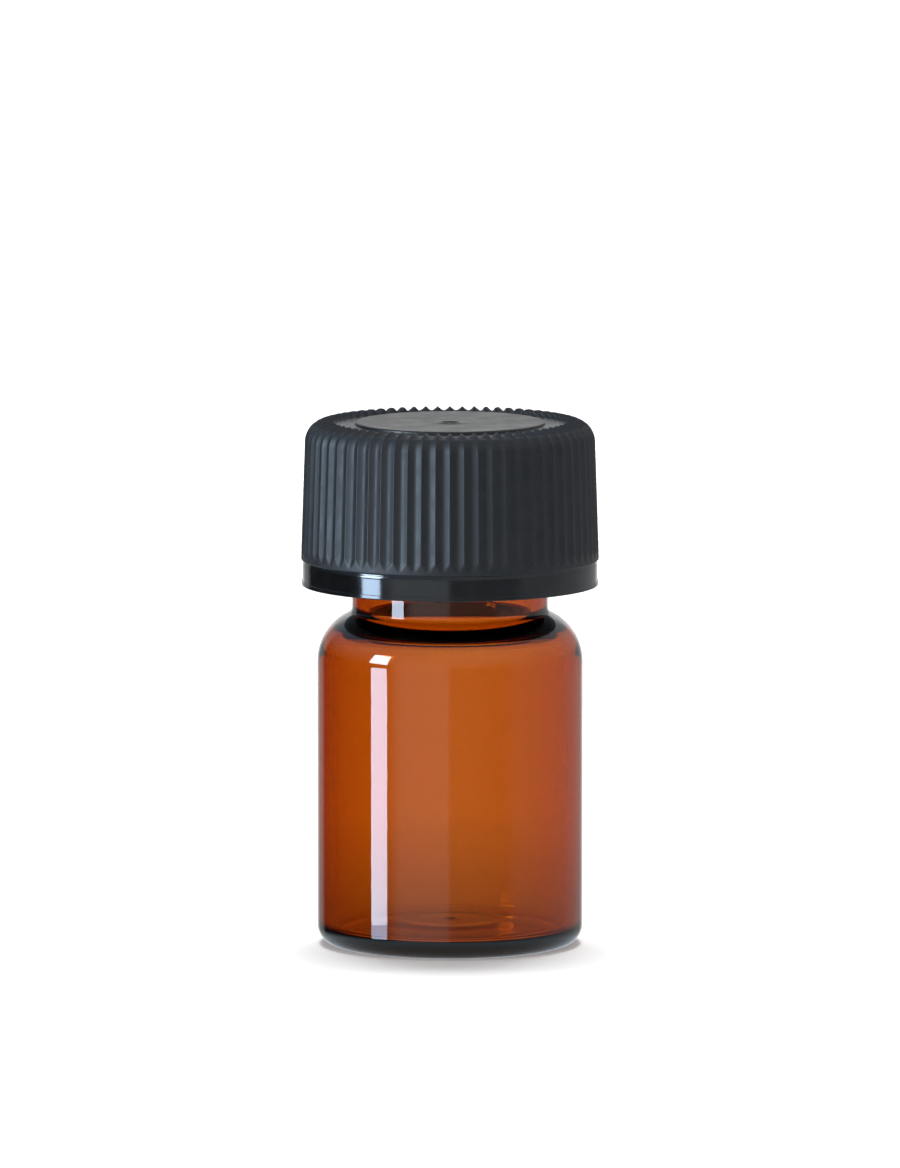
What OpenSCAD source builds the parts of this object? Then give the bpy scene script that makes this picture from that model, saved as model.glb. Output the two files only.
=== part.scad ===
// Screw-cap sample vial: a small glass bottle drawn from tube, its moulded ribbed
// cap and the sealing liner inside the cap. Millimetres, +Z up. The origin is the
// centre of the ring that the glass stands on, and +Z is the axis of the vial.

/* [Glass body] */
// Outer diameter of the straight body
body_d = 16; // [14:0.1:24]
// Height at which the straight body starts to curve into the shoulder
shoulder_z = 17.15; // [10:0.05:40]
// Outer radius of the shoulder's curve
shoulder_r = 3.2; // [3:0.05:5]
// Thickness of the glass under the shoulder's crown
shoulder_t = 1.35; // [1.1:0.05:1.8]
// Inner radius of the shoulder's curve
shoulder_inner_r = 1.4; // [1.2:0.05:2]
// Slope of the inner face from the shoulder's curve up to the bore
crown_slope = 10; // [0:1:14]
// Thickness of the body wall
wall = 1; // [0.8:0.05:1.4]
// Thickness of the floor, measured near the wall
floor_t = 1.05; // [0.9:0.05:2.5]
// Rise of the inner floor in its middle
floor_rise = 0.45; // [0.1:0.05:0.6]
// Outer radius of the bottom edge
bottom_edge_r = 1.2; // [0.6:0.05:1.4]
// Inner radius of the bottom corner
bottom_inner_r = 0.45; // [0.3:0.05:2]
// Depth of the shallow hollow under the floor
push_up = 0.5; // [0.1:0.05:0.6]
// Width of the plain ring round that hollow, which the glass stands on
stand_ring_w = 1.1; // [0.8:0.05:1.5]

/* [Glass neck] */
// Diameter of the plain neck, under and between the thread ridges
neck_d = 11.8; // [11:0.05:15]
// Height of the neck from the start of the shoulder's curve to the lip
neck_h = 12.2; // [11.5:0.05:18]
// Thickness of the neck's wall round the bore
neck_wall = 1; // [0.9:0.05:1.6]
// Radius of the fillet between shoulder and neck, outside
neck_fillet_r = 0.45; // [0.3:0.05:0.8]
// Radius of the fillet between shoulder and bore, inside
bore_fillet_r = 0.5; // [0.3:0.05:0.8]
// Radius of the rounded lip edges
lip_r = 0.4; // [0.2:0.05:0.45]

/* [Screw thread] */
// Axial rise of one turn, twelve turns to the inch
pitch = 2.1167; // [1.8:0.0001:2.4]
// Height of the glass ridge above the plain neck
ridge_h = 0.6; // [0.5:0.05:0.75]
// Width of a ridge along its crest
ridge_crest_w = 0.4; // [0.3:0.05:0.5]
// Slope of a ridge's flanks
ridge_flank = 30; // [20:1:35]
// Turns of the ridge on the glass and of the ridge in the cap
ridge_turns = 1.75; // [1.25:0.25:2]
// Distance from the lip down to the upper end of the glass ridge
ridge_below_lip = 1.45; // [1.3:0.05:2]
// Clearance between a crest and the wall it runs along
radial_clearance = 0.25; // [0.15:0.05:0.3]
// Clearance between the flanks that carry the load, along the axis
flank_clearance = 0.12; // [0.08:0.01:0.2]

/* [Cap] */
// Height of the cap from its lower edge to the tips of its ribs
cap_h = 9.95; // [9.2:0.05:14]
// Wall between the cap's bore and the floor of the grooves at the top corner
cap_wall = 1.68; // [1.2:0.01:3]
// Thickness of the roof over the liner, up to the tips of the ribs
roof_t = 1.4; // [1.2:0.05:2.5]
// Radius of the rounded corner that the ribs run over
cap_corner_r = 1.3; // [1:0.05:1.6]
// Draft of the ribbed wall, wider towards its lower edge
cap_draft = 1.9; // [1:0.1:3]
// Height of the smooth band under the ribs
band_h = 1.7; // [1:0.05:2.5]
// How far the band lies inside the ribs' lower ends
band_inset = 0.08; // [0.04:0.01:0.15]
// Height of the lip that runs round the band's lower edge
rim_h = 0.3; // [0.2:0.05:0.5]
// How far that lip stands out from the band
rim_out = 0.06; // [0.03:0.01:0.1]
// Radius of the raised disc on the roof
disc_r = 5.69; // [4.5:0.01:6]
// Height of the raised disc above the ring round it
disc_h = 0.22; // [0.1:0.01:0.3]
// Bevel at the entry of the cap's bore
entry_bevel = 0.25; // [0.1:0.05:0.3]

/* [Ribs] */
// Number of ribs round the cap
rib_count = 64; // [48:4:68]
// Depth of the grooves between the ribs
groove_depth = 0.3; // [0.2:0.01:0.35]
// Width of a groove on its floor
groove_floor_w = 0.12; // [0.08:0.01:0.3]
// Width of a groove between the crests of its ribs, at their lower ends
groove_top_w = 0.76; // [0.4:0.01:0.78]
// Length of a rib's flat top, in from the rounded corner
rib_top_len = 0.32; // [0.2:0.02:0.6]
// Length over which a groove runs out above the band
groove_runout = 0.35; // [0.2:0.05:0.6]
// How far the ribs' lower ends reach down over the band
rib_overhang = 0.2; // [0.1:0.05:0.4]

/* [Liner] */
// Thickness of the sealing liner
liner_t = 1; // [0.6:0.05:1.5]
// Clearance round the liner in the cap's bore
liner_clearance = 0.12; // [0.05:0.01:0.2]

/* [Hidden] */
$fn = 128;

// Small overrun of cutting tools past the surfaces they cut
over = 0.03;
// Overlap of two shapes that join, and how deep a shape is rooted inside a thick wall
lap = 0.1;
root_depth = 0.5;

body_r = body_d / 2;
neck_r = neck_d / 2;
bore_r = neck_r - neck_wall;
inner_r = body_r - wall;
// Centres of the shoulder's outer and inner curves
shoulder_cx = body_r - shoulder_r;
inner_cx = inner_r - shoulder_inner_r;
inner_cz = shoulder_z + shoulder_r - shoulder_t - shoulder_inner_r;
lip_z = shoulder_z + neck_h;
push_up_r = body_r - bottom_edge_r - stand_ring_w;
floor_dome_r = inner_r - bottom_inner_r;

// Ridges: the roots lie inside their walls by this much
ridge_sink = 0.35;
ridge_steps = 40;
ridge_fade = 6;
least_ridge = 0.15;
glass_ridge_r = neck_r + ridge_h;
cap_ridge_r = neck_r + radial_clearance;
cap_bore_r = glass_ridge_r + radial_clearance;
glass_ridge_z = lip_z - ridge_below_lip - ridge_turns * pitch;
// Distance between the two ridges' middles where their flanks nearly meet
ridge_drop = ridge_crest_w + (glass_ridge_r - cap_ridge_r) * tan(ridge_flank) + flank_clearance;
cap_ridge_z = glass_ridge_z - ridge_drop;

// Cap: the roof sits on the liner, and the liner on the glass lip
liner_r = cap_bore_r - liner_clearance;
roof_z = lip_z + liner_t;
cap_top = roof_z + roof_t;
cap_bottom = cap_top - cap_h;
ring_drop = groove_depth + 0.02;
corner_cx = cap_bore_r + cap_wall + groove_depth - cap_corner_r;
corner_cz = cap_top - cap_corner_r;
rib_inner_r = corner_cx - rib_top_len;
hub_r = rib_inner_r - root_depth;
band_top = cap_bottom + band_h;
rib_side_r = corner_cx + cap_corner_r * cos(cap_draft);
rib_side_z = corner_cz + cap_corner_r * sin(cap_draft);
rib_low_r = rib_side_r + (rib_side_z - band_top) * tan(cap_draft);
band_r = rib_low_r - band_inset;
disc_edge_r = 0.12;

// The region between a vertical wall at x = wall_x and a shoulder, filled down from
// a tangent circle of radius small_r. The shoulder is an arc of radius big_r round
// [cx, cz] that goes on inwards as a straight line rising by slope degrees
module blend_wall_to_shoulder(wall_x, small_r, cx, cz, big_r, slope) {
    blend_x = wall_x + small_r;
    reach = big_r + small_r;
    lean = max(slope, asin(max(0, blend_x - cx) / reach));
    blend_z = cz + reach * cos(lean) + (cx + reach * sin(lean) - blend_x) * tan(lean);
    touch_x = blend_x - small_r * sin(lean);
    touch_z = blend_z - small_r * cos(lean);
    difference() {
        polygon([
            [wall_x - root_depth, touch_z - root_depth],
            [touch_x, touch_z - root_depth],
            [touch_x, touch_z],
            [blend_x, blend_z],
            [wall_x - root_depth, blend_z]
        ]);
        translate([blend_x, blend_z])
            circle(small_r);
    }
}

// Half of the outline that the outside of the glass makes, without its thread
module glass_outside() {
    difference() {
        union() {
            translate([0, bottom_edge_r])
                square([body_r, shoulder_z - bottom_edge_r]);
            square([body_r - bottom_edge_r, shoulder_z]);
            translate([body_r - bottom_edge_r, bottom_edge_r])
                circle(bottom_edge_r);
            intersection() {
                translate([shoulder_cx, shoulder_z])
                    circle(shoulder_r);
                translate([0, shoulder_z - lap])
                    square([body_r, shoulder_r + 2 * lap]);
            }
            // The flat crown of a shoulder that is wider than the neck
            translate([0, shoulder_z])
                square([shoulder_cx, shoulder_r]);
            square([neck_r, lip_z - lip_r]);
            square([neck_r - lip_r, lip_z]);
            translate([neck_r - lip_r, lip_z - lip_r])
                circle(lip_r);
            blend_wall_to_shoulder(neck_r, neck_fillet_r, shoulder_cx, shoulder_z, shoulder_r, 0);
        }
        // The shallow hollow under the floor
        hollow_r = (pow(push_up_r, 2) + pow(push_up, 2)) / (2 * push_up);
        translate([0, push_up - hollow_r])
            circle(hollow_r);
    }
}

// Half of the outline of the space inside the glass
module glass_inside() {
    difference() {
        union() {
            translate([0, floor_t + bottom_inner_r])
                square([inner_r, inner_cz - floor_t - bottom_inner_r]);
            translate([0, floor_t])
                square([floor_dome_r, inner_cz - floor_t]);
            translate([floor_dome_r, floor_t + bottom_inner_r])
                circle(bottom_inner_r);
            intersection() {
                translate([inner_cx, inner_cz])
                    circle(shoulder_inner_r);
                translate([0, inner_cz - lap])
                    square([body_r, shoulder_inner_r + 2 * lap]);
            }
            // Under the crown: from the shoulder's curve up to the bore
            crown_x = inner_cx + shoulder_inner_r * sin(crown_slope);
            crown_z = inner_cz + shoulder_inner_r * cos(crown_slope);
            polygon([
                [0, inner_cz - lap],
                [crown_x, inner_cz - lap],
                [crown_x, crown_z],
                [0, crown_z + crown_x * tan(crown_slope)]
            ]);
            translate([0, inner_cz - lap])
                square([bore_r, lip_z - inner_cz + lap + over]);
            blend_wall_to_shoulder(
                bore_r, bore_fillet_r, inner_cx, inner_cz, shoulder_inner_r, crown_slope
            );
            // The lip's inner edge is rounded, so the space flares there
            difference() {
                translate([0, lip_z - lip_r])
                    square([bore_r + lip_r, lip_r + over]);
                translate([bore_r + lip_r, lip_z - lip_r])
                    circle(lip_r);
            }
        }
        // The floor rises a little in its middle
        dome_r = (pow(floor_dome_r, 2) + pow(floor_rise, 2)) / (2 * floor_rise);
        translate([0, floor_t + floor_rise - dome_r])
            circle(dome_r);
    }
}

// A helical ridge. Its root is a helix at root_r inside a wall, and its crest runs
// at tip_r, outside the root on the glass and inside it in the cap. Both ends fade.
module ridge(root_r, tip_r, z_low) {
    steps = round(ridge_turns * ridge_steps);
    outward = sign(tip_r - root_r);
    root_w = ridge_crest_w + 2 * abs(tip_r - root_r) * tan(ridge_flank);
    rings = [
        for (i = [0:steps])
            let (
                angle = 360 * ridge_turns * i / steps,
                z = z_low + pitch * angle / 360,
                height = max(least_ridge, min(1, i / ridge_fade, (steps - i) / ridge_fade)),
                r = root_r + (tip_r - root_r) * height
            )
            each [
                for (p = [[root_r, -root_w], [r, -ridge_crest_w], [r, ridge_crest_w], [root_r, root_w]])
                    [p[0] * cos(angle), p[0] * sin(angle), z + outward * p[1] / 2]
            ]
    ];
    sides = [
        for (i = [0:steps - 1], j = [0:3])
            let (
                a = 4 * i + j,
                b = 4 * i + (j + 1) % 4
            )
            each [[a, b, b + 4], [a, b + 4, a + 4]]
    ];
    last = 4 * steps;
    polyhedron(
        points = rings,
        faces = concat(sides, [[3, 2, 1, 0], [last, last + 1, last + 2, last + 3]])
    );
}

// Half the angle that a rib fills at radius r, where the grooves are gap wide
function rib_half_angle(r, gap) = 180 / rib_count - gap / 2 / r * 180 / PI;

function on_circle(r, angle) = [r * cos(angle), r * sin(angle)];

// Plan of the ribs: a star of them, joined by a hub inside the cap's core.
// Each row is a radius and the width of the grooves there
module rib_star() {
    rows = [
        [hub_r, groove_floor_w / 2],
        [rib_inner_r - lap, groove_floor_w],
        [rib_side_r - groove_depth, groove_floor_w],
        [rib_low_r, groove_top_w],
        [rib_low_r + lap, groove_top_w]
    ];
    polygon([
        for (i = [0:rib_count - 1], side = [-1, 1], k = [0:len(rows) - 1])
            let (
                row = rows[side < 0 ? k : len(rows) - 1 - k],
                angle = i * 360 / rib_count + side * rib_half_angle(row[0], row[1])
            )
            on_circle(row[0], angle)
    ]);
}

// Half of the outline that the crests of the ribs follow: down the drafted wall,
// round the corner and in across the roof
module crest_outline() {
    polygon([
        [hub_r - root_depth, band_top - rib_overhang],
        [rib_low_r, band_top - rib_overhang],
        [rib_low_r, band_top],
        [rib_side_r, rib_side_z],
        [corner_cx, corner_cz],
        [corner_cx, cap_top],
        [rib_inner_r, cap_top],
        [rib_inner_r, corner_cz],
        [hub_r - root_depth, corner_cz]
    ]);
    corner_quarter(cap_corner_r);
}

// A quarter of a disc of radius r, up and outwards from the corner's centre
module corner_quarter(r) {
    intersection() {
        translate([corner_cx, corner_cz])
            circle(r);
        translate([corner_cx, corner_cz])
            square(2 * r);
    }
}

// Half of the outline of the cap's core, whose surface is the grooves' floor, with
// the ring inside the ribs and the disc raised from it
module core_outline() {
    ring_z = cap_top - ring_drop;
    disc_z = ring_z + disc_h;
    polygon([
        [0, band_top - rib_overhang],
        [rib_low_r - groove_depth, band_top - rib_overhang],
        [rib_low_r - groove_depth, band_top],
        [rib_side_r - groove_depth, rib_side_z],
        [corner_cx, corner_cz],
        [corner_cx, cap_top - groove_depth],
        [rib_inner_r, cap_top - groove_depth],
        [rib_inner_r, ring_z],
        [0, ring_z]
    ]);
    corner_quarter(cap_corner_r - groove_depth);
    translate([0, ring_z - lap])
        square([disc_r, disc_h - disc_edge_r + lap]);
    translate([0, ring_z - lap])
        square([disc_r - disc_edge_r, disc_h + lap]);
    intersection() {
        translate([disc_r - disc_edge_r, disc_z - disc_edge_r])
            circle(disc_edge_r);
        translate([0, ring_z - lap])
            square([disc_r, disc_h + lap]);
    }
}

// Half of the outline of the smooth band, with the cone that ends the grooves
module band_outline() {
    polygon([
        [cap_bore_r - root_depth, cap_bottom],
        [band_r + rim_out, cap_bottom],
        [band_r + rim_out, cap_bottom + rim_h - rim_out],
        [band_r, cap_bottom + rim_h],
        [band_r, band_top],
        [band_r - groove_depth, band_top + groove_runout],
        [cap_bore_r - root_depth, band_top + groove_runout]
    ]);
}

module vial() {
    color([0.55, 0.24, 0.06, 0.8])
        union() {
            rotate_extrude()
                difference() {
                    intersection() {
                        glass_outside();
                        square([body_r + 1, lip_z + 1]);
                    }
                    glass_inside();
                }
            ridge(neck_r - ridge_sink, glass_ridge_r, glass_ridge_z);
        }
}

module liner() {
    color([0.92, 0.92, 0.9])
        translate([0, 0, lip_z])
            cylinder(h = liner_t, r = liner_r);
}

// The cap before it is bored: ribs, core and the smooth band under them
module cap_block() {
    intersection() {
        rotate_extrude()
            crest_outline();
        linear_extrude(cap_top + 1)
            rib_star();
    }
    rotate_extrude()
        core_outline();
    rotate_extrude()
        band_outline();
}

module cap() {
    color([0.13, 0.14, 0.16])
        union() {
            difference() {
                cap_block();
                translate([0, 0, cap_bottom - 1])
                    cylinder(h = roof_z - cap_bottom + 1, r = cap_bore_r);
                translate([0, 0, cap_bottom - over])
                    cylinder(
                        h = entry_bevel + over,
                        r1 = cap_bore_r + entry_bevel + over,
                        r2 = cap_bore_r
                    );
            }
            ridge(cap_bore_r + ridge_sink, cap_ridge_r, cap_ridge_z);
        }
}

vial();
liner();
cap();
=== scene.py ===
# A small amber sample vial with its liner and its ribbed screw cap, in metres.
import math

import bpy
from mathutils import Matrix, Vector


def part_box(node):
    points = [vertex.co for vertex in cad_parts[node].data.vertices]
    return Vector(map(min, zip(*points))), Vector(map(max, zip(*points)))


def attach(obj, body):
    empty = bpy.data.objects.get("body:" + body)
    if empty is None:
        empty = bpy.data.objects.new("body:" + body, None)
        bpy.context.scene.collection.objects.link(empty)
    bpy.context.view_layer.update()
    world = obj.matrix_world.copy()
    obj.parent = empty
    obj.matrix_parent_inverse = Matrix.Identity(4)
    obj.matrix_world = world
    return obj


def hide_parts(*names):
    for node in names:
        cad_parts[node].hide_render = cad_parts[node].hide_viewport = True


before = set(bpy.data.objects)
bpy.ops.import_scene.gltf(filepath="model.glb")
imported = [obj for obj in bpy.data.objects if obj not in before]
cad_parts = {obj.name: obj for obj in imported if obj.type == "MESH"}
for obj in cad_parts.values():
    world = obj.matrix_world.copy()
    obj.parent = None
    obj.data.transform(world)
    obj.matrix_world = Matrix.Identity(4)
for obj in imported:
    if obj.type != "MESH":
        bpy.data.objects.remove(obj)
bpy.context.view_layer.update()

# ------------------------------------------------------------------------------
# Glass vial: drawn from amber glass tube. The floor is melted shut and sunk a
# little in its middle, the shoulder and the screw neck are shaped in the flame,
# and every edge is fire polished.

MM = 0.001
glass_low, glass_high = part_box("vial")
glass_r = glass_high.x
lip_z = glass_high.z
wall = 1.0 * MM
foot_sink = 0.5 * MM
foot_ring_w = 1.1 * MM
foot_edge_r = 1.2 * MM
floor_t = 1.05 * MM
floor_rise = 0.45 * MM
floor_corner_r = 0.45 * MM
shoulder_z = lip_z - 12.2 * MM
shoulder_r = 3.2 * MM
crown_t = 1.35 * MM
crown_inner_r = 1.4 * MM
crown_slope = 10
neck_r = 5.9 * MM
bore_r = 4.9 * MM
neck_fillet = 0.45 * MM
bore_fillet = 0.5 * MM
lip_round = 0.4 * MM
pitch = 2.1167 * MM
thread_turns = 1.75
thread_h = 0.6 * MM
thread_half_w = 0.55 * MM
thread_low = lip_z - 1.45 * MM - thread_turns * pitch


def arc(centre_r, centre_z, radius, start, end, steps):
    """Points of a turned outline along an arc. 0 degrees is outwards and 90 is up."""
    angles = [math.radians(start + (end - start) * i / steps) for i in range(steps + 1)]
    return [(centre_r + radius * math.cos(a), centre_z + radius * math.sin(a)) for a in angles]


def straight(start, end, steps):
    """Points of a turned outline along a straight line, without its first point."""
    return [
        (start[0] + (end[0] - start[0]) * i / steps, start[1] + (end[1] - start[1]) * i / steps)
        for i in range(1, steps + 1)
    ]


def turned(name, outline, segments):
    """A closed shell: a small disc on the axis is extruded ring by ring and closed on the axis."""
    bpy.ops.object.select_all(action="DESELECT")
    ring_r, ring_z = outline[0]
    bpy.ops.mesh.primitive_circle_add(
        vertices=segments, radius=ring_r, fill_type="TRIFAN", location=(0, 0, ring_z)
    )
    piece = bpy.context.object
    piece.name = name
    piece.data.name = name
    bpy.ops.object.transform_apply(location=True)
    bpy.ops.object.mode_set(mode="EDIT")
    bpy.ops.mesh.select_mode(type="EDGE")
    bpy.ops.mesh.region_to_loop()
    for r, z in outline[1:]:
        bpy.ops.mesh.extrude_edges_move(TRANSFORM_OT_translate={"value": (0, 0, z - ring_z)})
        bpy.ops.transform.resize(value=(r / ring_r, r / ring_r, 1), center_override=(0, 0, 0))
        ring_r, ring_z = r, z
    bpy.ops.mesh.extrude_edges_move()
    bpy.ops.mesh.merge(type="CENTER")
    bpy.ops.mesh.select_all(action="SELECT")
    bpy.ops.mesh.normals_make_consistent(inside=False)
    bpy.ops.object.mode_set(mode="OBJECT")
    bpy.ops.object.shade_smooth()
    return piece


shoulder_centre = glass_r - shoulder_r
across = neck_r + neck_fillet - shoulder_centre
outer_fillet_z = shoulder_z + math.sqrt((shoulder_r + neck_fillet) ** 2 - across**2)
outer_angle = math.degrees(math.atan2(outer_fillet_z - shoulder_z, across))
inner_centre = glass_r - wall - crown_inner_r
inner_centre_z = shoulder_z + shoulder_r - crown_t - crown_inner_r
crown_tilt = math.radians(crown_slope)
crown_reach = crown_inner_r + bore_fillet
crown_run = inner_centre + crown_reach * math.sin(crown_tilt) - bore_r - bore_fillet
bore_low_z = inner_centre_z + crown_reach * math.cos(crown_tilt) + crown_run * math.tan(crown_tilt)
foot_r = glass_r - foot_edge_r - foot_ring_w
sink_r = (foot_r**2 + foot_sink**2) / (2 * foot_sink)
sink_end = math.degrees(math.asin(foot_r / sink_r))
inner_r = glass_r - wall
dome_r = inner_r - floor_corner_r
rise_r = (dome_r**2 + floor_rise**2) / (2 * floor_rise)
rise_end = math.degrees(math.asin(dome_r / rise_r))
neck_rings = 72
pole = 0.03
# Where the tube was melted shut, the floor keeps a low ring and a small tip in its middle
ring_wave = 0.08 * MM
ring_wave_r = 3.2 * MM
ring_wave_w = 0.6 * MM
tip_h = 0.15 * MM
tip_w = 0.3 * MM
rise_centre_z = floor_t + floor_rise - rise_r


def melted(r):
    """Height of the ring and of the tip on the floor at radius r."""
    ring_part = ring_wave * math.exp(-(((r - ring_wave_r) / ring_wave_w) ** 2))
    return ring_part + tip_h * math.exp(-((r / tip_w) ** 2))


glass_outline = (
    arc(0, foot_sink - sink_r, sink_r, 90 - sink_end * pole, 90 - sink_end, 10)
    + arc(glass_r - foot_edge_r, foot_edge_r, foot_edge_r, -90, 0, 14)
    + straight((glass_r, foot_edge_r), (glass_r, shoulder_z), 8)
    + arc(shoulder_centre, shoulder_z, shoulder_r, 0, outer_angle, 22)[1:]
    + arc(neck_r + neck_fillet, outer_fillet_z, neck_fillet, 180 + outer_angle, 180, 8)[1:]
    + straight((neck_r, outer_fillet_z), (neck_r, lip_z - lip_round), neck_rings)
    + arc(neck_r - lip_round, lip_z - lip_round, lip_round, 0, 90, 6)[1:]
    + arc(bore_r + lip_round, lip_z - lip_round, lip_round, 90, 180, 6)
    + straight((bore_r, lip_z - lip_round), (bore_r, bore_low_z), 4)
    + arc(bore_r + bore_fillet, bore_low_z, bore_fillet, 180, 270 - crown_slope, 14)[1:]
    + arc(inner_centre, inner_centre_z, crown_inner_r, 90 - crown_slope, 0, 20)
    + straight((inner_r, inner_centre_z), (inner_r, floor_t + floor_corner_r), 8)
    + arc(dome_r, floor_t + floor_corner_r, floor_corner_r, 0, -90, 12)[1:]
    + [
        (r, z + melted(r))
        for r, z in arc(0, rise_centre_z, rise_r, 90 - rise_end, 90 - rise_end * pole, 50)[1:]
    ]
)
vial = turned("amber_vial", glass_outline, 256)
thread_fade = 0.15
on_wall = 0.01 * MM


def raise_thread(piece, root_r, height, low_z):
    """Raises a rounded helical ridge on the wall at root_r; it fades out over part of a turn."""
    for vertex in piece.data.vertices:
        x, y, z = vertex.co
        r = math.hypot(x, y)
        if abs(r - root_r) > on_wall:
            continue
        turn = math.atan2(y, x) / math.tau % 1
        lift = 0
        for lap in range(math.ceil(thread_turns)):
            along = lap + turn
            off = abs(z - low_z - pitch * along) / thread_half_w
            ends = min(1, along / thread_fade, (thread_turns - along) / thread_fade)
            if off < 1 and ends > 0:
                lift = max(lift, math.sin(ends * math.pi / 2) * (1 + math.cos(math.pi * off)) / 2)
        grow = (r + height * lift) / r
        vertex.co = (x * grow, y * grow, z)


raise_thread(vial, neck_r, thread_h, thread_low)


def new_material(name):
    """A new material with its list of nodes, its list of links and its shader."""
    material = bpy.data.materials.new(name)
    material.use_nodes = True
    tree = material.node_tree
    return material, tree.nodes, tree.links, tree.nodes["Principled BSDF"]


amber, nodes, links, shader = new_material("amber_glass")
shader.inputs["Base Color"].default_value = (1, 1, 1, 1)
shader.inputs["Roughness"].default_value = 0
shader.inputs["IOR"].default_value = 1.5
shader.inputs["Transmission Weight"].default_value = 1
# Fine lines run up the glass, as drawing the tube leaves them
place = nodes.new("ShaderNodeTexCoord")
drawn = nodes.new("ShaderNodeMapping")
drawn.inputs["Scale"].default_value = (700, 700, 12)
links.new(place.outputs["Object"], drawn.inputs["Vector"])
lines = nodes.new("ShaderNodeTexNoise")
lines.inputs["Scale"].default_value = 1
lines.inputs["Detail"].default_value = 2
links.new(drawn.outputs["Vector"], lines.inputs["Vector"])
ripple = nodes.new("ShaderNodeBump")
ripple.inputs["Strength"].default_value = 0.12
ripple.inputs["Distance"].default_value = 0.00002
links.new(lines.outputs["Fac"], ripple.inputs["Height"])
links.new(ripple.outputs["Normal"], shader.inputs["Normal"])
# The amber is in the glass, so thick places are darker
tint = nodes.new("ShaderNodeVolumeAbsorption")
tint.inputs["Color"].default_value = (0.85, 0.58, 0.0, 1)
tint.inputs["Density"].default_value = 3000
links.new(tint.outputs["Volume"], nodes["Material Output"].inputs["Volume"])
vial.data.materials.append(amber)
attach(vial, "vial")
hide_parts("vial")

# ------------------------------------------------------------------------------
# Liner: a disc punched from foam sheet with a white facing. It lies loose under
# the roof of the cap, and the glass lip presses a shallow ring into its face.

liner_low, liner_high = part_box("liner")
liner_r = liner_high.x
liner_edge = 0.08 * MM
liner_pole_r = 0.4 * MM
press = 0.04 * MM
lip_low_r = bore_r + lip_round
lip_high_r = neck_r - lip_round
liner_outline = (
    [(liner_pole_r, liner_low.z), (lip_low_r - press, liner_low.z), (lip_low_r, liner_low.z + press)]
    + [(lip_high_r, liner_low.z + press), (lip_high_r + press, liner_low.z)]
    + arc(liner_r - liner_edge, liner_low.z + liner_edge, liner_edge, -90, 0, 4)
    + straight((liner_r, liner_low.z + liner_edge), (liner_r, liner_high.z - liner_edge), 4)
    + arc(liner_r - liner_edge, liner_high.z - liner_edge, liner_edge, 0, 90, 4)[1:]
    + [(liner_pole_r, liner_high.z)]
)
liner = turned("sealing_liner", liner_outline, 128)

# The mottle goes from a dark to a pale tone in soft spots, Scale of them to the metre
mottle = bpy.data.node_groups.new("mottle", "ShaderNodeTree")
face = mottle.interface
for name, kind in (("Scale", "Float"), ("Detail", "Float"), ("Dark", "Color"), ("Pale", "Color")):
    face.new_socket(name=name, in_out="INPUT", socket_type=f"NodeSocket{kind}")
for name, kind in (("Spots", "Float"), ("Tone", "Color")):
    face.new_socket(name=name, in_out="OUTPUT", socket_type=f"NodeSocket{kind}")
nodes = mottle.nodes
links = mottle.links
given = nodes.new("NodeGroupInput")
made = nodes.new("NodeGroupOutput")
place = nodes.new("ShaderNodeTexCoord")
spots = nodes.new("ShaderNodeTexNoise")
links.new(place.outputs["Object"], spots.inputs["Vector"])
links.new(given.outputs["Scale"], spots.inputs["Scale"])
links.new(given.outputs["Detail"], spots.inputs["Detail"])
links.new(spots.outputs["Fac"], made.inputs["Spots"])
share = nodes.new("ShaderNodeMapRange")
share.inputs["From Min"].default_value = 0.35
share.inputs["From Max"].default_value = 0.65
links.new(spots.outputs["Fac"], share.inputs["Value"])


def mixed(factor, first, second):
    """Mixes two colours, each a tuple or a socket, in the tree that is being made."""
    node = nodes.new("ShaderNodeMix")
    node.data_type = "RGBA"
    links.new(factor, node.inputs["Factor"])
    colors = (socket for socket in node.inputs if socket.type == "RGBA")
    for socket, value in zip(colors, (first, second)):
        if isinstance(value, tuple):
            socket.default_value = (*value, 1)
        else:
            links.new(value, socket)
    return next(socket for socket in node.outputs if socket.type == "RGBA")


tone = mixed(share.outputs["Result"], given.outputs["Dark"], given.outputs["Pale"])
links.new(tone, made.inputs["Tone"])


def mottled(scale, detail, dark, pale):
    """Places the mottle in the material that is being made, with its own values."""
    node = nodes.new("ShaderNodeGroup")
    node.node_tree = mottle
    node.inputs["Scale"].default_value = scale
    node.inputs["Detail"].default_value = detail
    node.inputs["Dark"].default_value = (*dark, 1)
    node.inputs["Pale"].default_value = (*pale, 1)
    return node.outputs["Spots"], node.outputs["Tone"]


# The facing shows the cells of the foam under it
facing, nodes, links, shader = new_material("liner_facing")
shader.inputs["Roughness"].default_value = 0.5
cells, tone = mottled(6000, 2, (0.66, 0.66, 0.62), (0.76, 0.76, 0.73))
links.new(tone, shader.inputs["Base Color"])
liner.data.materials.append(facing)
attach(liner, "liner")
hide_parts("liner")

# ------------------------------------------------------------------------------
# Screw cap: one black moulding. Sixty-four ribs run up its wall, over the round
# corner and in across the roof, and stop short of a sunk ring with a raised disc.
# Below them is a smooth band with a small lip.

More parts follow.
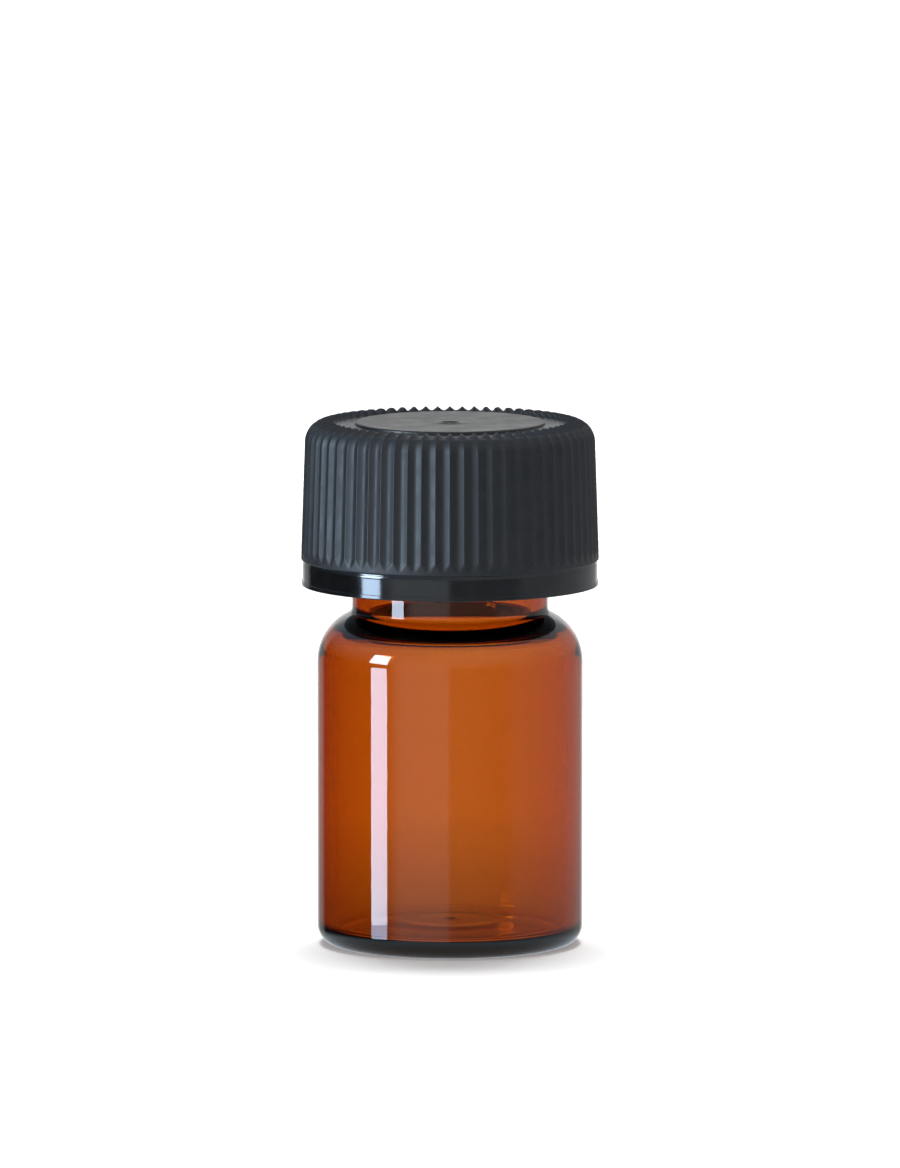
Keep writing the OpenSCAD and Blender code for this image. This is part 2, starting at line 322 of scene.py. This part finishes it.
cap_low, cap_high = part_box("cap")
cap_top = cap_high.z
cap_bottom = cap_low.z
ribs_r = cap_high.x
band_r = ribs_r - 0.08 * MM
rim_r = band_r + 0.06 * MM
band_top = cap_bottom + 1.7 * MM
ledge = 0.2 * MM
band_round = 0.8 * MM
band_bend = 26
band_bend_z = band_top - ledge - 0.38 * MM
rim_heights = (0.065, 0.16, 0.23, 0.24)
band_heights = (0.25, 0.26, 0.34)
corner_r = 1.3 * MM
corner_centre_r = 7.43 * MM
corner_centre_z = cap_top - corner_r
rib_inner_r = corner_centre_r - 0.32 * MM
ring_z = cap_top - 0.32 * MM
disc_r = 5.69 * MM
disc_h = 0.22 * MM
disc_edge = 0.12 * MM
# The disc sinks a little towards its middle, where the gate left a small ring
dish = 0.08 * MM
gate_rings = ((0.7, 0.005), (0.65, 0.04), (0.55, 0.04), (0.49, -0.04), (0.2, -0.04))
disc_rings = (5.4, 5, 4, 3, 2, 1.3)
# The wall leans in by this many degrees, so that the cap leaves its mould
draft = 1.9
cap_bore_r = neck_r + thread_h + 0.25 * MM
roof_z = liner_high.z
entry = 0.25 * MM
rib_count = 64
flute_depth = 0.155 * MM
roof_flute_depth = 0.3 * MM
# A flute has flat flanks at 1 and a round bottom at 2
flute_round = 1.4
crest_gather = 0.5
keep_apart = 0.15
run_out = 0.6 * MM
small = 0.05 * MM
ledge_z = band_top - ledge
ledge_r = band_r - 0.1 * band_round
slope = 0.02 * MM
thread_gap = 0.722 * MM

cap_outline = (
    [(1 * MM, roof_z), (cap_bore_r - small, roof_z), (cap_bore_r, roof_z - small)]
    + straight((cap_bore_r, roof_z - small), (cap_bore_r, cap_bottom + entry), 40)
    + [(cap_bore_r + entry, cap_bottom), (rim_r - small, cap_bottom)]
    + arc(rim_r - small, cap_bottom + small, small, -90, 0, 3)[1:]
    + [(rim_r, cap_bottom + h * MM) for h in rim_heights]
    + [(band_r, cap_bottom + h * MM) for h in band_heights]
    + straight((band_r, cap_bottom + band_heights[-1] * MM), (band_r, band_bend_z), 4)
    + arc(band_r - band_round, band_bend_z, band_round, 0, band_bend, 6)[1:]
    + [(ledge_r, ledge_z), (ribs_r - small, ledge_z + slope), (ribs_r, ledge_z + small + slope)]
    + straight((ribs_r, ledge_z + small), (ribs_r - slope, band_top + run_out + small), 12)
    + arc(corner_centre_r, corner_centre_z, corner_r, draft, 90, 16)
    + [(rib_inner_r + small, cap_top), (rib_inner_r, cap_top - small)]
    + [(rib_inner_r, ring_z + small), (rib_inner_r - small, ring_z)]
    + [(disc_r + small, ring_z), (disc_r, ring_z + small)]
    + arc(disc_r - disc_edge, ring_z + disc_h - disc_edge, disc_edge, 0, 90, 5)
    + [(r * MM, ring_z + disc_h - dish * (1 - (r * MM / disc_r) ** 2)) for r in disc_rings]
    + [(r * MM, ring_z + disc_h - dish + h * MM) for r, h in gate_rings]
)
cap = turned("ribbed_cap", cap_outline, rib_count * 12)


def press_flutes(piece):
    """Presses round flutes with sharp crests between them into the blank, square to its surface."""
    for vertex in piece.data.vertices:
        x, y, z = vertex.co
        r = math.hypot(x, y)
        if r < rib_inner_r - small / 2 or z < ledge_z + small:
            continue
        angle = math.atan2(y, x)
        # Vertices gather at the crests, which makes them sharper
        angle -= crest_gather * math.sin(angle * rib_count) / rib_count
        across = abs(2 * (angle * rib_count / math.tau % 1) - 1)
        on_roof = max(0, ribs_r - r) / (ribs_r - rib_inner_r)
        full = flute_depth + (roof_flute_depth - flute_depth) * on_roof
        # The flutes run out towards the band
        filled = max(0, 1 - (z - band_top) / run_out)
        depth = max(0, full * (1 - across**flute_round) - full * filled)
        x = r * math.cos(angle)
        y = r * math.sin(angle)
        inward = Vector((min(r, corner_centre_r) - r, min(z, corner_centre_z) - z))
        inward.normalize()
        new_r = r + inward.x * depth
        new_z = z + inward.y * depth
        # Nothing goes below the sunk ring, and no two rings of vertices meet there
        lowest = min(z, ring_z + keep_apart * (z - ring_z))
        vertex.co = (x * new_r / r, y * new_r / r, max(new_z, lowest))


raise_thread(cap, cap_bore_r, -thread_h, thread_low - thread_gap)
press_flutes(cap)

black, nodes, links, shader = new_material("black_moulding")
shader.inputs["IOR"].default_value = 1.58
shader.inputs["Specular Tint"].default_value = (0.86, 0.94, 1, 1)
place = nodes.new("ShaderNodeTexCoord")


def node_math(operation, a, b):
    """One Math node in the tree that is being made; a and b are numbers or sockets."""
    node = nodes.new("ShaderNodeMath")
    node.operation = operation
    for socket, value in zip(node.inputs, (a, b)):
        if isinstance(value, (int, float)):
            socket.default_value = value
        else:
            links.new(value, socket)
    return node.outputs[0]


def passing(value, low, high, before=0, after=1, curve="LINEAR"):
    """Goes from one number to another while value passes from low to high."""
    node = nodes.new("ShaderNodeMapRange")
    node.interpolation_type = curve
    node.inputs["From Min"].default_value = low
    node.inputs["From Max"].default_value = high
    for name, number in (("To Min", before), ("To Max", after)):
        if isinstance(number, (int, float)):
            node.inputs[name].default_value = number
        else:
            links.new(number, node.inputs[name])
    links.new(value, node.inputs["Value"])
    return node.outputs["Result"]


# The band is polished, the roof inside the ribs is satin and the ribs are the dullest
disc_dull = 0.4
ring_dull = 0.36
roof_ribs_dull = 0.6
ribs_dull = 0.53
band_dull = 0.1
spot = nodes.new("ShaderNodeSeparateXYZ")
links.new(place.outputs["Object"], spot.inputs["Vector"])
squares = [node_math("MULTIPLY", spot.outputs[axis], spot.outputs[axis]) for axis in ("X", "Y")]
radius = node_math("SQRT", node_math("ADD", squares[0], squares[1]), 0)
height = spot.outputs["Z"]
soft = "SMOOTHSTEP"
edge_in = disc_r - 0.05 * MM
edge_out = disc_r + 0.1 * MM
ribs_in = rib_inner_r - 0.1 * MM
ribs_out = rib_inner_r + 0.1 * MM
roof_low = cap_top - 0.6 * MM
roof_finish = passing(radius, edge_in, edge_out, disc_dull, ring_dull, soft)
roof_finish = passing(radius, ribs_in, ribs_out, roof_finish, roof_ribs_dull, soft)
wall_finish = passing(height, ledge_z, ledge_z + small, band_dull, ribs_dull, soft)
finish = passing(height, roof_low, roof_low + 0.1 * MM, wall_finish, roof_finish, soft)
# Slow blotches vary the finish. A fine grain covers the disc, and its paler tone there is painted
# sheen for the light the satin disc reflects
grain, disc_grain_and_sheen = mottled(7000, 2, (0.005, 0.004, 0.003), (0.022, 0.0205, 0.017))
blotches, plain = mottled(900, 4, (0.005, 0.0055, 0.007), (0.009, 0.0095, 0.0115))
uneven = passing(blotches, 0.35, 0.65, 0.92, 1.08, soft)
links.new(node_math("MULTIPLY", finish, uneven), shader.inputs["Roughness"])
# Only the top of the disc takes the paler grain: a painted sheen
on_disc = passing(radius, edge_in, edge_out, 1, 0, soft)
on_top = passing(height, ring_z, ring_z + small, 0, 1, soft)
skin_tone = mixed(node_math("MULTIPLY", on_disc, on_top), plain, disc_grain_and_sheen)
links.new(skin_tone, shader.inputs["Base Color"])
skin = nodes.new("ShaderNodeBump")
skin.inputs["Distance"].default_value = 0.00001
skin.inputs["Strength"].default_value = 0.25
rough_skin = node_math("MULTIPLY", grain, node_math("MULTIPLY", finish, 2))
links.new(rough_skin, skin.inputs["Height"])
links.new(skin.outputs["Normal"], shader.inputs["Normal"])
cap.data.materials.append(black)
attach(cap, "cap")
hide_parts("cap")

# ------------------------------------------------------------------------------
# Stage: a white floor under a ceiling lamp that gives the soft shadow; seen through
# the glass, the floor has painted shade near the vial. Three window panes on the left
# give the highlights, and a pale surround stands for the room, brightest behind the
# vial, where its light comes through the glass.

bpy.ops.object.select_all(action="DESELECT")
bpy.ops.mesh.primitive_plane_add(size=4)
floor = bpy.context.object
floor.name = "floor"
paper, nodes, links, shader = new_material("white_floor")
shader.inputs["Roughness"].default_value = 1
shader.inputs["Specular IOR Level"].default_value = 0
shader.inputs["Emission Color"].default_value = (1, 1, 1, 1)
path = nodes.new("ShaderNodeLightPath")
place = nodes.new("ShaderNodeTexCoord")
length = nodes.new("ShaderNodeVectorMath")
length.operation = "LENGTH"
links.new(place.outputs["Object"], length.inputs[0])
away = length.outputs["Value"]
# Through the glass the floor's colour is painted darker near the vial: painted shade in place of the
# shade the vial casts there
paper_white = 0.9
painted_shade_near_vial = passing(away, 0.012, 0.06, 0.3, 0.64)
floor_tone_with_painted_shade = passing(path.outputs["Is Transmission Ray"], 0, 1, paper_white, painted_shade_near_vial)
links.new(floor_tone_with_painted_shade, shader.inputs["Base Color"])
# Far from the vial, where the lamp fades, the floor stays white
links.new(passing(away, 0.25, 0.9, 0.2, 1), shader.inputs["Emission Strength"])
floor.data.materials.append(paper)
floor.visible_glossy = False
floor.visible_shadow = False


def softbox(name, azimuth, distance, middle_z, width, length, power, color, floor_only=False):
    """A flat rectangular lamp that faces the vial. Azimuth 0 is in front and 90 is on the left."""
    lamp = bpy.data.lights.new(name, "AREA")
    lamp.shape = "RECTANGLE"
    lamp.size = width
    lamp.size_y = length
    lamp.energy = power
    lamp.color = color
    holder = bpy.data.objects.new(name, lamp)
    bpy.context.scene.collection.objects.link(holder)
    angle = math.radians(azimuth)
    holder.location = (-distance * math.sin(angle), -distance * math.cos(angle), middle_z)
    aim = Vector((0, 0, 0 if floor_only else middle_z)) - holder.location
    holder.rotation_euler = aim.to_track_quat("-Z", "Y").to_euler()
    # The windows make the highlights only, and the ceiling gives soft light only
    holder.visible_diffuse = floor_only
    holder.visible_glossy = not floor_only
    holder.visible_transmission = not floor_only


# Name, azimuth, distance, height of the middle, width, length, power and colour
softbox("window_low", 64, 0.5, -0.01, 0.14, 0.146, 1.28, (0.55, 0.67, 0.84))
softbox("window_foot", 64, 0.5, -0.095, 0.14, 0.024, 0.11, (0.42, 0.66, 0.95))
softbox("window_high", 66, 0.5, 0.203, 0.16, 0.156, 1.9, (0.8, 0.91, 1))
softbox("ceiling", 180, 0.12, 0.6, 0.3, 0.16, 4.4, (1, 1, 1), floor_only=True)

# The surround is only a pattern of light: what each direction sends to the vial
world = bpy.data.worlds.new("white_surround")
bpy.context.scene.world = world
world.use_nodes = True
nodes = world.node_tree.nodes
links = world.node_tree.links
surround = nodes["Background"]
place = nodes.new("ShaderNodeTexCoord")
view = nodes.new("ShaderNodeSeparateXYZ")
links.new(place.outputs["Generated"], view.inputs["Vector"])
sideways, deep, upward = view.outputs
# Round the horizon: 0 is behind the vial, 0.25 on its right, 0.5 in front, 0.75 on its left
bearing = node_math("ARCTAN2", node_math("MULTIPLY", sideways, -1), node_math("MULTIPLY", deep, -1))
ring = nodes.new("ShaderNodeValToRGB")
links.new(node_math("ADD", node_math("DIVIDE", bearing, math.tau), 0.5), ring.inputs["Fac"])
stops = [
    (0.0, 1.0),
    (0.04, 1.0),
    (0.06, 0.45),
    (0.33, 0.42),
    (0.36, 0.2),
    (0.497, 0.25),
    (0.507, 0.78),
    (0.62, 0.8),
    (0.66, 0.03),
    (0.89, 0.03),
    (0.91, 0.42),
    (0.94, 0.45),
    (0.96, 1.0),
]
for i, (where, level) in enumerate(stops):
    stop = ring.color_ramp.elements[i] if i < 2 else ring.color_ramp.elements.new(where)
    stop.position = where
    stop.color = (level, level, level, 1)
# Above the horizon ring is a sky that is bluer on the left, and below it a table's glow
white = (1, 1, 1)
sky = mixed(passing(sideways, 0.1, -0.7), (0.6, 0.6, 0.61), (0.3, 0.4, 0.56))
above = mixed(passing(upward, 0.15, 0.5), ring.outputs["Color"], sky)
below = mixed(passing(upward, -0.8, -0.45), (0.5, 0.48, 0.47), (0.62, 0.72, 0.8))
around = mixed(passing(upward, -0.35, -0.2), below, above)
# The camera sees white, and so it does through the glass where it looks past the vial
path = nodes.new("ShaderNodeLightPath")
seen = mixed(path.outputs["Is Camera Ray"], around, white)
behind = passing(deep, 0.2, 0.5)
seen = mixed(node_math("MULTIPLY", path.outputs["Is Transmission Ray"], behind), seen, white)
seen = mixed(path.outputs["Is Diffuse Ray"], seen, (0.4, 0.4, 0.4))
links.new(seen, surround.inputs["Color"])
world.cycles.sampling_method = "NONE"

# The camera stands a metre away, in front and a little above
camera = bpy.data.cameras.new("camera")
camera.lens = 512
eye = bpy.data.objects.new("camera", camera)
bpy.context.scene.collection.objects.link(eye)
target = Vector((0, 0, 0.0218))
tilt = math.radians(7)
eye.location = target + Vector((0, -math.cos(tilt), math.sin(tilt)))
eye.rotation_euler = (target - eye.location).to_track_quat("-Z", "Y").to_euler()
bpy.context.scene.camera = eye
bpy.context.scene.view_settings.view_transform = "Standard"
